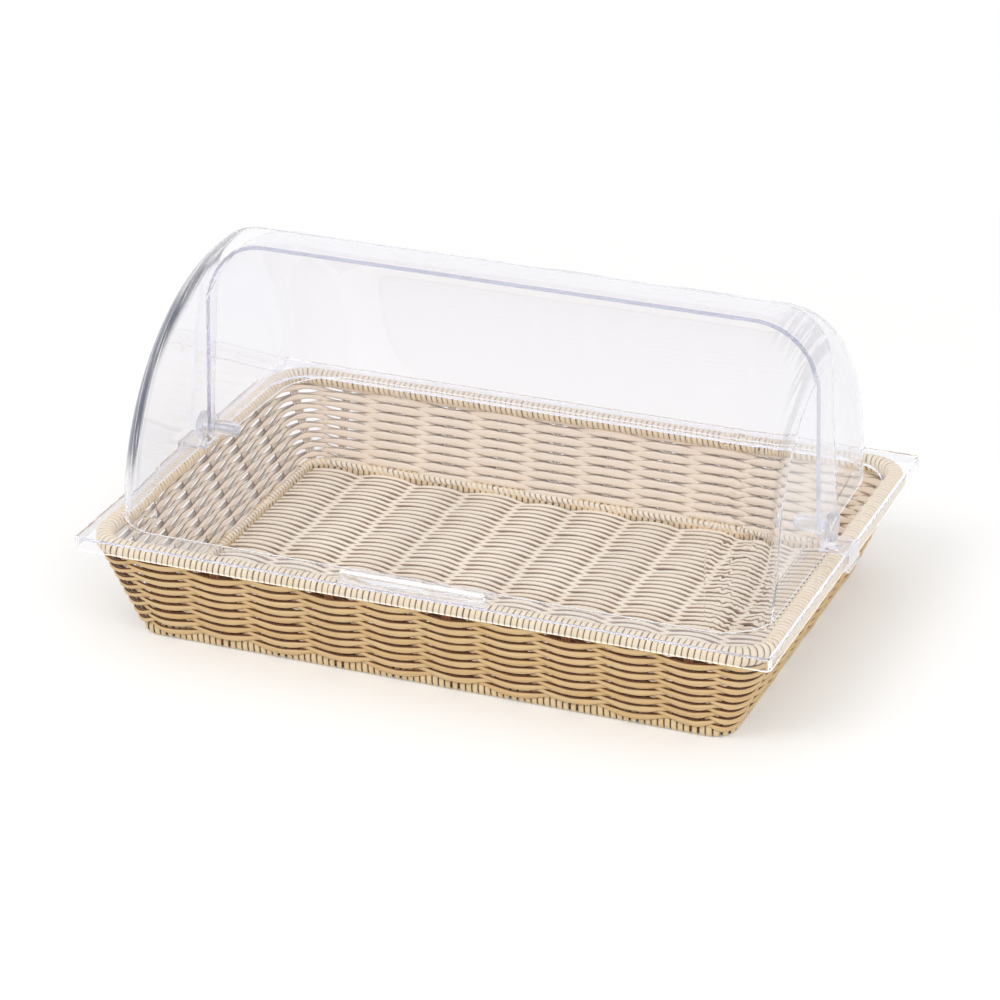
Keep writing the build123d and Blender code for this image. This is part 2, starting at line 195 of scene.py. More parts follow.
def makeStrandGroup(s):
    # colour and relief of one extruded strand: fine lines along it, slow shade drift, painted brown shade in
    # the gaps and along its edges, and a painted paler inside
    group, given = newGroup("strandSkin", {
        "Pale": (0.8, 0.6, 0.38, 1),
        "Warm": (0.7, 0.47, 0.26, 1),
        "Gap": (0.16, 0.07, 0.025, 1),
        "Inside Painted Light": s["inner"],
        "Painted Gap Shade Amount": 0.8,
        "Drift Scale": s["driftScale"],
        "Line Scale": s["lineScale"],
        "Wear": s["wear"],
    }, ("Color", "Roughness", "Height"))
    place = addNode(group, "ShaderNodeTexCoord", (-1300, -300)).outputs
    drift = noise(group, (-850, 250), place["Object"], given["Drift Scale"], s["driftDetail"])
    shade = attribute(group, (-850, 0), "strandShade")
    mixed = calculate(group, (-640, 150), "MULTIPLY_ADD", drift, s["driftShare"], shade)
    tone = remap(group, (-450, 150), mixed, *s["tones"])
    tone = blend(group, (-250, 200), tone, given["Pale"], given["Warm"])
    # lines left by the die run along the strand, so they follow the strand's own UV
    along = stretched(group, (-850, -300), place["UV"], s["lineStretch"])
    lines = noise(group, (-640, -300), along, given["Line Scale"], s["lineDetail"])
    darken = remap(group, (-450, -250), lines, *s["lineShade"])
    # painted light: the side that faces the bread is painted paler for the haze of the covers, and its
    # painted gap shade is lighter
    inner = attribute(group, (-450, 400), "paintedInsideLight")
    tone = blend(group, (-150, 400), inner, tone, given["Inside Painted Light"])
    lined = scaled(group, (-40, 150), tone, darken)
    # painted shade: how far a spot lies down between its neighbours, darkened towards the Gap colour
    depth = attribute(group, (-450, -550), "paintedGapShade")
    depth = remap(group, (-250, -450), depth, s["gapFrom"], 1.0, smooth=True)
    lighter = calculate(group, (-250, -650), "MULTIPLY_ADD", inner, s["insideGapShadeEase"], 1.0)
    eased = calculate(group, (-150, -550), "MULTIPLY", depth, lighter)
    amount = calculate(group, (-40, -400), "MULTIPLY", eased, given["Painted Gap Shade Amount"])
    # rubbed crests shine a little more
    rub = calculate(group, (200, -100), "MULTIPLY", drift, given["Wear"])
    addNode(group, "NodeGroupOutput", (900, 0), {
        "Color": blend(group, (200, 150), amount, lined, given["Gap"]),
        "Roughness": calculate(group, (400, -100), "SUBTRACT", s["rough"], rub),
        "Height": lines,
    })
    return group


strandGroup = makeStrandGroup(strandSet)


def strandMaterial(name, pale, warm, gap, paintedGapShade):
    s = strandSet
    material, tree = newMaterial(name)
    skin = addNode(tree, "ShaderNodeGroup", (-500, 0), node_tree=strandGroup)
    for label, colour in (("Pale", pale), ("Warm", warm), ("Gap", gap)):
        skin.inputs[label].default_value = (*colour, 1)
    skin.inputs["Painted Gap Shade Amount"].default_value = paintedGapShade
    bump = addNode(tree, "ShaderNodeBump", (-250, -250), {
        "Strength": s["reliefStrength"], "Distance": s["relief"], "Height": skin.outputs["Height"]})
    shader = addNode(tree, "ShaderNodeBsdfPrincipled", (0, 0), {
        "Base Color": skin.outputs["Color"],
        "Roughness": skin.outputs["Roughness"],
        "Normal": bump.outputs["Normal"],
        "Specular IOR Level": s["specular"],
    })
    addNode(tree, "ShaderNodeOutputMaterial", (300, 0), {"Surface": shader.outputs["BSDF"]})
    return material


# each finish gives pale and warm tones, then the colour and strength of the painted shade in the gaps between
# strands
wallFinish = strandMaterial("creamWallStrand", (0.79, 0.575, 0.315), (0.67, 0.44, 0.20),
                            (0.11, 0.03, 0.004), 0.97)
# painted light: the border is coloured paler than the walls to offset the shade it lies in
borderFinish = strandMaterial("creamBorderStrand", (0.90, 0.72, 0.46), (0.80, 0.58, 0.32),
                              (0.05, 0.018, 0.004), 0.95)
rimFinish = strandMaterial("creamRimStrand", (0.93, 0.79, 0.58), (0.86, 0.69, 0.46),
                           (0.13, 0.06, 0.025), 0.9)
# painted light: the floor is coloured paler and bluer than the walls for the haze of the covers over it
floorFinish = strandMaterial("creamFloorStrand", (0.97, 0.88, 0.74), (0.92, 0.80, 0.63),
                             (0.24, 0.115, 0.05), 0.85)
wireFinish = strandMaterial("brownStake", (0.30, 0.12, 0.05), (0.19, 0.065, 0.022),
                            (0.08, 0.022, 0.005), 0.6)

paintedStreakSet = {
    "squeeze": (420, 10, 10),  # fine across the corner, long along it
    "detail": 3,
    # the rest are the ends of a range, and what they become where that isn't 0 and 1
    "dark": (0.40, 0.46),
    "grazing": (0.28, 0.46),
    "tip": (0.226, 0.236),
    "risen": (0.2, 0.26, 0.0, 0.013),
    "upper": (0.235, 0.262, 1.0, 0.8),
    "lower": (0.112, 0.145, 0.12, 1.0),
    "right": (-0.2, 0.2, 1.0, 0.3),
    "turned": (0.99, 0.93),
}
mouldSet = {
    "smear": (0.35, 0.75, 0.0, 0.03),
    "smearDetail": 4,
    "swellDetail": 1,
    "endReach": 0.03,
    "edgeRough": 0.2,
}


# painted reflection: dark streaks along a tight outer corner, standing in for the dark surroundings it
# reflects
def paintedReflectionStreaks(group, given, place, at, outward):
    # the dark hair lines that a tight outer corner draws along itself
    h = paintedStreakSet
    squeezed = stretched(group, (-1100, -750), place["Object"], h["squeeze"])
    streakNoise = noise(group, (-900, -750), squeezed, 1.0, h["detail"])
    # the corner turns towards the barrel further in, the higher up it is
    risen = remap(group, (-730, -600), at["Z"], *h["risen"])
    further = calculate(group, (-550, -620), "ADD", outward, risen)
    sideways = axes(group, (-1100, -1250), place["Normal"])["X"]
    sideways = calculate(group, (-900, -1250), "ABSOLUTE", sideways)
    lines = remap(group, (-650, -750), streakNoise, *h["dark"], smooth=True)
    # they thin out towards the top, the foot and the right end
    for i, (value, key, smooth) in enumerate(((given["Facing"], "grazing", True), (further, "tip", True),
                                              (sideways, "turned", True), (at["Z"], "upper", False),
                                              (at["Z"], "lower", True), (at["X"], "right", False))):
        mask = remap(group, (-650, -950 - 200 * i), value, *h[key], smooth=smooth)
        lines = calculate(group, (-450 + 100 * i, -850), "MULTIPLY", lines, mask)
    return calculate(group, (250, -850), "MULTIPLY", lines, given["Painted Streak Amount"], clamp=True)


def makeClearGroup(s):
    # clear plastic: faint smudges and swell from the mould, a deeper cast in the end walls, painted edge
    # tints and painted highlight glow on the edges, and painted dark reflection streaks along the outer
    # corners
    group, given = newGroup("clearSkin", {
        "Facing": 0.0,
        "Smudge Scale": 9.0,
        "Swell Scale": 14.0,
        "Tint": (0.98, 0.98, 1, 1),
        "End Tint": (0.95, 0.95, 0.98, 1),
        "End Start": 1.0,
        "Edge": 0.0,
        "Edge Tint": (0.8, 0.82, 0.9, 1),
        "Painted Streak Tint": (0.03, 0.035, 0.06, 1),
        "Painted Streak Amount": 0.0,
        "Painted Edge Highlight": (0, 0, 0, 1),
        "Hem": 0.0,
        "Painted Hem Highlight": (0, 0, 0, 1),
    }, ("Color", "Roughness", "Height", "Painted Highlight"))
    place = addNode(group, "ShaderNodeTexCoord", (-1300, -300)).outputs
    smear = noise(group, (-900, 100), place["Object"], given["Smudge Scale"], s["smearDetail"])
    smear = remap(group, (-650, 100), smear, *s["smear"])
    at = axes(group, (-1100, -500), place["Object"])
    outward = calculate(group, (-900, -500), "ABSOLUTE", at["X"])
    beyond = calculate(group, (-730, -500), "SUBTRACT", outward, given["End Start"])
    ends = remap(group, (-550, -500), beyond, 0.0, s["endReach"], smooth=True)
    lines = paintedReflectionStreaks(group, given, place, at, outward)
    colour = blend(group, (-150, 350), ends, given["Tint"], given["End Tint"])
    # the painted dark reflection streaks darken the colour
    colour = blend(group, (100, 350), lines, colour, given["Painted Streak Tint"])
    paintedGlow = scaled(group, (350, -250), given["Painted Edge Highlight"], given["Edge"])
    addNode(group, "NodeGroupOutput", (700, 0), {
        "Color": blend(group, (350, 350), given["Edge"], colour, given["Edge Tint"]),
        "Roughness": calculate(group, (350, 0), "MULTIPLY_ADD", given["Edge"], s["edgeRough"], smear),
        "Height": noise(group, (-900, -250), place["Object"], given["Swell Scale"], s["swellDetail"]),
        "Painted Highlight": blend(group, (520, -250), given["Hem"], paintedGlow, given["Painted Hem Highlight"]),
    })
    return group


clearGroup = makeClearGroup(mouldSet)


def cutFaceMask(s):
    # the sawn face of a cover, across its depth, painted with a blue-grey tint as a shade line
    def build(tree):
        depth = spot(tree, (-1200, -200))["Y"]
        return {"Edge": remap(tree, (-800, -200), depth, s["cutFrom"], s["cutFrom"] + s["cutSoft"])}
    return build


def frameEdgeMask(s):
    # painted highlight: a narrow band round the frame's top outer edge, and another round the skirt's lower
    # edge, tinted and glowing
    def build(tree):
        at = spot(tree, (-2000, -300))
        alongX = calculate(tree, (-1600, -200), "ABSOLUTE", at["X"])
        alongY = calculate(tree, (-1600, -350), "ABSOLUTE", at["Y"])
        shifted = calculate(tree, (-1400, -200), "SUBTRACT", alongX, s["halfLength"] - s["halfWidth"])
        outward = calculate(tree, (-1200, -250), "MAXIMUM", shifted, alongY)
        side, top, hem = s["halfWidth"] - s["band"], s["top"] - s["band"], s["bottom"] + s["band"]
        outer = remap(tree, (-1000, -250), outward, side, side + s["soft"])
        high = remap(tree, (-1000, -450), at["Z"], top, top + s["soft"])
        low = remap(tree, (-1000, -650), at["Z"], hem, hem - s["soft"])
        return {"Edge": calculate(tree, (-800, -300), "MULTIPLY", outer, high), "Hem": low}
    return build


def rolledEdgeMask(s):
    # painted highlight: the rolled upper edge of the handle is painted white and glows
    def build(tree):
        height = spot(tree, (-1200, -500))["Z"]
        return {"Edge": remap(tree, (-800, -500), height, s["rollFrom"], s["rollFrom"] + s["rollSoft"])}
    return build


def thinSheetMask(s):
    # the sheet behind the grip is too thin to show
    def build(tree):
        depth = spot(tree, (-1200, -800))["Y"]
        return remap(tree, (-800, -800), depth, s["sheetFrom"], s["sheetFrom"] + s["sheetSoft"],
                     1.0, s["sheetAlpha"])
    return build


def clearMaterial(name, s, edgeMask=None, alphaMask=None):
    material, tree = newMaterial(name)
    masks = edgeMask(tree) if edgeMask else {}
    facing = addNode(tree, "ShaderNodeLayerWeight", (-850, 200), {"Blend": 0.5}).outputs["Facing"]
    tints = {"Tint": "tint", "End Tint": "endTint", "Edge Tint": "paintedEdgeTint", "Painted Streak Tint": "paintedStreakTint",
             "Painted Edge Highlight": "paintedEdgeHighlight", "Painted Hem Highlight": "paintedHemHighlight"}
    skin = addNode(tree, "ShaderNodeGroup", (-600, 0), {
        "Facing": facing,
        "Smudge Scale": s["smudge"],
        "Swell Scale": s["swell"],
        "End Start": s["endStart"],
        "Painted Streak Amount": s["paintedStreakAmount"],
        **{label: (*s[key], 1) for label, key in tints.items()},
        **masks,
    }, node_tree=clearGroup).outputs
    bump = addNode(tree, "ShaderNodeBump", (-300, -250), {
        "Strength": 1.0, "Distance": s["waviness"], "Height": skin["Height"]})
    shader = addNode(tree, "ShaderNodeBsdfPrincipled", (0, 0), {
        "Base Color": skin["Color"],
        "Roughness": skin["Roughness"],
        "Normal": bump.outputs["Normal"],
        "Transmission Weight": 1.0,
        "IOR": s["ior"],
        "Sheen Weight": s["haze"],
        "Sheen Roughness": s["hazeSpread"],
        "Sheen Tint": (*s["hazeTint"], 1),
    })
    # the edge masks add a painted highlight as emission
    if masks:
        tree.links.new(skin["Painted Highlight"], shader.inputs["Emission Color"])
        shader.inputs["Emission Strength"].default_value = 1.0
    if alphaMask:
        tree.links.new(alphaMask(tree), shader.inputs["Alpha"])
    clear, deep = (addNode(tree, "ShaderNodeBsdfTransparent", (0, y), {"Color": (*s[key], 1)}).outputs["BSDF"]
                   for y, key in ((260, "shadowTint"), (380, "deepTint")))
    path = addNode(tree, "ShaderNodeLightPath", (-500, 600)).outputs
    # light that has been thrown about inside the plastic for long comes out again
    long = calculate(tree, (-250, 650), "GREATER_THAN", path["Ray Depth"], s["deepAfter"])
    either = calculate(tree, (-250, 450), "MAXIMUM", path["Is Shadow Ray"], path["Is Diffuse Ray"])
    seen = mixShader(tree, (300, 100), long, shader.outputs["BSDF"], deep)
    surface = mixShader(tree, (480, 100), either, seen, clear)
    addNode(tree, "ShaderNodeOutputMaterial", (660, 100), {"Surface": surface})
    return material


coverSet = {
    "tint": (0.994, 0.987, 0.998),
    "endTint": (0.965, 0.965, 0.985),
    "endStart": 0.212,
    # painted shade: the blue-grey tint of a cover's cut edge
    "paintedEdgeTint": (0.54, 0.55, 0.67),
    "paintedEdgeHighlight": (0.0, 0.0, 0.0),
    "paintedHemHighlight": (0.0, 0.0, 0.0),
    # colour and amount of the painted dark reflection streaks
    "paintedStreakTint": (0.01, 0.012, 0.03),
    "paintedStreakAmount": 1.0,
    "shadowTint": (0.99, 0.988, 0.994),
    "deepTint": (0.88, 0.89, 0.93),
    "deepAfter": 8,
    "ior": 1.49,
    "waviness": 0.0002,
    "smudge": 9,
    "swell": 14,
    "haze": 0.25,
    "hazeSpread": 0.5,
    "hazeTint": (0.88, 0.9, 1.0),
}
frontCoverSet = {**coverSet, "paintedEdgeTint": (0.85, 0.86, 0.93), "cutFrom": 0.0179, "cutSoft": 0.00005}
rearCoverSet = {**coverSet, "paintedStreakAmount": 0.0, "cutFrom": -0.0029, "cutSoft": -0.00005}
frameSet = {
    **coverSet,
    "tint": (0.985, 0.985, 1.0),
    "endStart": 1.0,
    # painted highlight: the lavender tint and the glow of the frame's edge bands, and the glow of its hem
    "paintedEdgeTint": (0.80, 0.80, 0.97),
    "paintedEdgeHighlight": (0.22, 0.22, 0.3),
    "paintedHemHighlight": (0.2, 0.19, 0.18),
    "paintedStreakAmount": 0.0,
    "waviness": 0.00005,
    "smudge": 25,
    "halfLength": 0.2725,
    "halfWidth": 0.185,
    "top": 0.0855,
    "bottom": 0.075,
    "band": 0.0006,
    "soft": 0.0001,
}
fittingSet = {**frameSet, "tint": (0.995, 0.995, 1.0), "smudge": 60, "haze": 0.6}
handleSet = {
    **fittingSet,
    # painted highlight: the white tint and glow of the handle's rolled edge
    "paintedEdgeTint": (1.0, 1.0, 1.0),
    "paintedEdgeHighlight": (0.36, 0.36, 0.38),
    "rollFrom": 0.0941,
    "rollSoft": 0.0002,
    "sheetFrom": -0.1817,
    "sheetSoft": 0.0003,
    "sheetAlpha": 0.25,
}
rearCoverFinish = clearMaterial("clearRearCover", rearCoverSet, cutFaceMask(rearCoverSet))
frontCoverFinish = clearMaterial("clearFrontCover", frontCoverSet, cutFaceMask(frontCoverSet))
frameFinish = clearMaterial("clearFrame", frameSet, frameEdgeMask(frameSet))
fittingFinish = clearMaterial("clearFitting", fittingSet)
handleFinish = clearMaterial("clearHandle", handleSet, rolledEdgeMask(handleSet), thinSheetMask(handleSet))
print("finishes ready")


basketSet = {
    "rimHalf": (269.0, 181.5, 34.0),
    "rimBand": (13.0, 12.0),
    "rimBottom": 70.7,
    "baseHalf": (237.0, 159.5, 19.0),
    "borderBand": (7.5, 9.5),
    "footHalf": (238.5, 161.0, 20.5),
    "headHalf": (264.75, 177.25, 29.75),
    "wall": 4.5,
    "stakePitch": 46.4,
    "longStakes": 10,
    "shortStakes": 6,
    "shades": 0.4,  # how far strands differ in shade
    "girth": 0.012,  # the way round a strand in its UV, in metres
}
# painted shade along the strand edges and behind crossings, and the painted paler inside
paintedShadeAndLightSet = {
    "edge": 0.72,  # share of a strand's half width from which painted shade darkens it towards its edges
    "crossing": 0.2,  # how much sooner it does where it crosses a neighbour
    "behind": 1.6,  # how fast painted shade darkens it as it runs behind the others
    "behindFrom": 0.2,
    "facing": 3,  # how sharply the outer side parts from the inner one, for the painted shade and the painted paler inside
}
wallSet = {
    "rows": 8,
    "reach": 2.2,
    "sag": 2.8,  # how far a strand droops where it passes outside a stake
    "rise": 1.0,  # how far it rides up where it passes inside
    "waist": 0.88,  # width left halfway between stakes
    "swell": 0.26,  # extra width where a strand leans, a quarter of the way
    "spread": 0.13,  # extra width where it passes inside a stake
    "thick": 3.0,
    "steps": 14,
    "sides": 14,
    "foot": 14.9,
    "pitch": 3.72,
    "shades": 0.45,
    "stray": 0.3,  # how far a row may lie off its place
    "strayPlaces": 24,
    "early": 0.035,  # how far a bend may come early or late, as a share of the stake pitch
    "earlyLag": 7,  # steps by which that lags behind the row's own straying
    # stake number, counted to the right from the front's middle, how wide the strands lie there, and
    # the share of the swell they have: below zero they are drawn thin and leave openings
    "widths": ((0, 5.6, 1), (4, 5.55, 1), (5, 5.1, 1), (6.5, 5.4, 1), (10.5, 5.4, 1), (12, 5.0, 1),
               (13.5, 5.4, 1), (21.5, 5.4, 1), (22.5, 4.9, -1), (24.5, 4.7, -1.8), (28.5, 4.7, -1.8),
               (30, 4.9, -1), (31.5, 5.5, 1), (36, 5.6, 1)),
}
lean = math.atan2(basketSet["headHalf"][1] - basketSet["footHalf"][1],
                  basketSet["rimBottom"] - basketSet["borderBand"][1])


def roundedPath(halfX, halfY, radius, s):
    # place and outward direction at arc length s from the middle of the front side, turning right
    a, b = halfX - radius, halfY - radius
    q = radius * math.pi / 2
    knots = np.cumsum([0, a, q, 2 * b, q, 2 * a, q, 2 * b, q, a])
    s = np.mod(s, knots[-1])
    x, y, nx, ny = (np.zeros_like(s) for _ in range(4))
    part = np.clip(np.searchsorted(knots, s, side="right") - 1, 0, 8)
    rest = s - knots[part]
    for index, (x0, y0, dx, dy, ox, oy) in {
        0: (0, -halfY, 1, 0, 0, -1), 2: (halfX, -b, 0, 1, 1, 0), 4: (a, halfY, -1, 0, 0, 1),
        6: (-halfX, b, 0, -1, -1, 0), 8: (-a, -halfY, 1, 0, 0, -1),
    }.items():
        m = part == index
        x[m], y[m] = x0 + dx * rest[m], y0 + dy * rest[m]
        nx[m], ny[m] = ox, oy
    for index, (cx, cy, start) in {1: (a, -b, -90), 3: (a, b, 0), 5: (-a, b, 90), 7: (-a, -b, 180)}.items():
        m = part == index
        angle = math.radians(start) + rest[m] / max(radius, 1e-6)
        nx[m], ny[m] = np.cos(angle), np.sin(angle)
        x[m], y[m] = cx + radius * nx[m], cy + radius * ny[m]
    return x, y, nx, ny


def pathLength(halfX, halfY, radius):
    return 4 * (halfX - radius) + 4 * (halfY - radius) + 2 * math.pi * radius


def panelMarks(halfX, halfY, radius):
    # arc lengths at which the walls and corners begin and end, from the left end of the front wall
    a, b = halfX - radius, halfY - radius
    q = radius * math.pi / 2
    return np.cumsum([-a, 2 * a, q, 2 * b, q, 2 * a, q, 2 * b, q])


def spaced(count, pitch):
    return [pitch * (i - (count - 1) / 2) for i in range(count)]


def stakeStations(halfX, halfY, radius):
    # arc lengths of the 36 stakes, from the first one right of the front's middle
    a, b = halfX - radius, halfY - radius
    q = radius * math.pi / 2
    xs = spaced(basketSet["longStakes"], basketSet["stakePitch"])
    ys = spaced(basketSet["shortStakes"], basketSet["stakePitch"])
    stations = [x for x in xs if x > 0]
    stations.append(a + q / 2)
    stations += [a + q + b + y for y in ys]
    stations.append(a + q + 2 * b + q / 2)
    stations += [a + q + 2 * b + q + a - x for x in reversed(xs)]
    stations.append(3 * a + 2 * q + 2 * b + q / 2)
    stations += [3 * a + 3 * q + 2 * b + b - y for y in reversed(ys)]
    stations.append(3 * a + 3 * q + 4 * b + q / 2)
    total = pathLength(halfX, halfY, radius)
    stations += [total + x for x in xs if x < 0]
    return np.array(stations), total


def stakeSteps(ends, lengths, knots, steps):
    # stake numbers along a strand: its two ends, and even steps between them
    q0, q1 = np.interp(ends, lengths, knots)
    inner = np.arange(math.ceil(q0 * steps + 0.1), math.floor(q1 * steps - 0.1) + 1)
    return np.concatenate([[q0], inner / steps, [q1]])


def roundTurn(count):
    return np.linspace(0, 2 * np.pi, count, endpoint=False)


def sweepMesh(name, strands, sides):
    # each strand: places (n,3) mm, two section axes (n,3), two half sizes (n,), painted gap shade and painted
    # paler inside (n,sides), shade, and closed where its ends meet
    verts, faces, uvs, depth, shades, inner = [], [], [], [], [], []
    base = 0
    turn = roundTurn(sides)
    c, d = np.cos(turn)[None, :, None], np.sin(turn)[None, :, None]
    for s in strands:
        n = len(s["at"])
        ring = (s["at"][:, None, :] + s["u"][:, None, :] * c * s["hu"][:, None, None]
                + s["v"][:, None, :] * d * s["hv"][:, None, None])
        verts.append(ring.reshape(-1, 3))
        run = np.concatenate([[0], np.cumsum(np.linalg.norm(np.diff(s["at"], axis=0), axis=1))])
        rows = n if s.get("closed") else n - 1
        i = np.arange(rows)[:, None]
        j = np.arange(sides)[None, :]
        i2, j2 = (i + 1) % n, (j + 1) % sides
        quad = np.stack([i * sides + j, i2 * sides + j, i2 * sides + j2, i * sides + j2], -1) + base
        faces.append(quad.reshape(-1, 4))
        base += n * sides
        runNext = np.append(run[1:], run[-1] + (run[1] - run[0]))[:rows]
        u0, u1 = (np.broadcast_to(u[:, None], (rows, sides)) * mm for u in (run[:rows], runNext))
        v0, v1 = (np.broadcast_to(v / sides * basketSet["girth"], (rows, sides)) for v in (j, j + 1))
        corners = [np.stack(pair, -1) for pair in ((u0, v0), (u1, v0), (u1, v1), (u0, v1))]
        uvs.append(np.stack(corners, 2).reshape(-1, 2))
        for values, value in ((depth, s["depth"]), (inner, s.get("inner", 0.0)), (shades, s["shade"])):
            values.append(np.broadcast_to(value, (n, sides)).reshape(-1))
    verts, quads = np.concatenate(verts) * mm, np.concatenate(faces)
    mesh = bpy.data.meshes.new(name)
    mesh.vertices.add(len(verts))
    mesh.vertices.foreach_set("co", verts.astype(np.float32).ravel())
    mesh.loops.add(len(quads) * 4)
    mesh.loops.foreach_set("vertex_index", quads.astype(np.int32).ravel())
    mesh.polygons.add(len(quads))
    mesh.polygons.foreach_set("loop_start", np.arange(0, len(quads) * 4, 4, dtype=np.int32))
    mesh.update(calc_edges=True)
    layer = mesh.uv_layers.new(name="alongStrand")
    layer.data.foreach_set("uv", np.concatenate(uvs).astype(np.float32).ravel())
    for label, values in (("paintedGapShade", depth), ("strandShade", shades), ("paintedInsideLight", inner)):
        channel = mesh.attributes.new(label, "FLOAT", "POINT")
        channel.data.foreach_set("value", np.concatenate(values).astype(np.float32))
    mesh.polygons.foreach_set("use_smooth", np.ones(len(quads), bool))
    mesh.validate()
    return mesh


def addPiece(name, mesh, material, body, node):
    piece = bpy.data.objects.new(name, mesh)
    scene.collection.objects.link(piece)
    piece.visible_glossy = body != "basket"  # the clear walls throw back the white room
    mesh.materials.append(material)
    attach(piece, body)
    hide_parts(node)


def addStrands(name, strands, sides, material, node):
    addPiece(name, sweepMesh(name, strands, sides), material, "basket", node)


def wallHalf(z):
    # half length, half width and corner radius of the middle of the wall at height z
    t = (z - basketSet["borderBand"][1]) / (basketSet["rimBottom"] - basketSet["borderBand"][1])
    inset = basketSet["wall"] / 2
    return [(1 - t) * (f - inset) + t * (h - inset)
            for f, h in zip(basketSet["footHalf"], basketSet["headHalf"])]


strays = random.uniform(-1, 1, (wallSet["strayPlaces"], 2 * wallSet["rows"]))
strays[-1] = strays[0]


def paintedStrandShade(out, reach, turn):
    # painted shade: a strand is darkened along its two edges, and where it runs behind the others
    g = paintedShadeAndLightSet
    outer = np.clip(g["facing"] * np.sin(turn), 0, 1)[None, :]
    crossing = (1 - (out[:, None] / reach) ** 2) * outer
    edge = (np.abs(np.cos(turn))[None, :] - g["edge"] + g["crossing"] * crossing) / (1 - g["edge"])
    behind = -out[:, None] * np.sin(turn)[None, :] / reach * g["behind"] - g["behindFrom"]
    return np.maximum(np.clip(edge, 0, 1), np.clip(behind, 0, 1))


def strandSwell(s, phase, share=1.0):
    return 1 - (1 - s["waist"]) * np.sin(phase) ** 2 + share * s["swell"] * np.sin(2 * phase) ** 2


def wallStrand(row, half, ends, shade):
    # ends are the two panel marks between which the strand runs
    w = wallSet
    z0 = w["foot"] + w["pitch"] * (2 * row + half)
    halfX, halfY, radius = wallHalf(z0)
    stations, total = stakeStations(halfX, halfY, radius)
    count = len(stations)
    knots = np.arange(-count, 2 * count)
    lengths = np.concatenate([stations - total, stations, stations + total])
    q = stakeSteps(panelMarks(halfX, halfY, radius)[list(ends)], lengths, knots, w["steps"])
    x, y, nx, ny = roundedPath(halfX, halfY, radius, np.interp(q, knots, lengths))
    stake = np.mod(q, count)
    drift = np.interp(stake / count * (len(strays) - 1), np.arange(len(strays)), strays[:, 2 * row + half])
    phase = np.pi * (q + half + w["early"] * np.roll(drift, w["earlyLag"]))
    out = w["reach"] * np.cos(phase)
    lift = -np.where(out > 0, w["sag"], w["rise"]) * np.cos(phase) + w["stray"] * drift
    normal = np.stack([nx * math.cos(lean), ny * math.cos(lean), np.full_like(nx, -math.sin(lean))], 1)
    rise = np.stack([nx * math.sin(lean), ny * math.sin(lean), np.full_like(nx, math.cos(lean))], 1)
    at = np.stack([x, y, np.full_like(x, z0)], 1) + normal * out[:, None] + rise * lift[:, None]
    marks, widths, shares = zip(*w["widths"])
    wide = np.interp(stake, marks, widths) * strandSwell(w, phase, np.interp(stake, marks, shares))
    wide *= 1 + w["spread"] * np.maximum(-np.cos(phase), 0)
    turn = roundTurn(w["sides"])
    # depth carries the painted gap shade, and inner the painted paler inside
    return {"at": at, "u": rise, "v": normal, "hu": wide / 2, "hv": np.full(len(q), w["thick"] / 2),
            "depth": paintedStrandShade(out, w["reach"], turn),
            "inner": np.clip(-paintedShadeAndLightSet["facing"] * np.sin(turn), 0, 1), "shade": shade}


def makeWalls():
    w = wallSet
    shades = random.uniform(0, w["shades"], (w["rows"], 2))
    # the lowest strand is half behind the border, so it is the second half of a row
    halves = [(-1, 1)] + [(row, half) for row in range(w["rows"]) for half in (0, 1)]
    for name, panels in (("front", [(0, 1)]), ("right", [(2, 3)]), ("back", [(4, 5)]), ("left", [(6, 7)]),
                         ("corner", [(1, 2), (3, 4), (5, 6), (7, 8)])):
        strands = [wallStrand(row, half, ends, shades[row][half]) for ends in panels for row, half in halves]
        addStrands(name + "Strands", strands, w["sides"], wallFinish, name + "_weave")


makeWalls()
print("walls woven")

coilPaintedShadeAndSqueeze = {"dark": 0.88, "light": 1.1, "squeeze": (0.6, 1.4)}
rimSet = {"pitch": 4.62, "thick": 2.6, "around": 20, "sides": 8, "power": 2.6, "slant": 0.8,
          "stray": 0.04, "fill": (0.9, 0.98)}
borderSet = {"single": 4.4, "gap": 1.2, "pitch": 4.7, "fill": 0.91, "thick": 2.3, "around": 16, "sides": 8,
             "power": 2.6, "slant": 0.0, "low": 9.6, "high": 14.2}


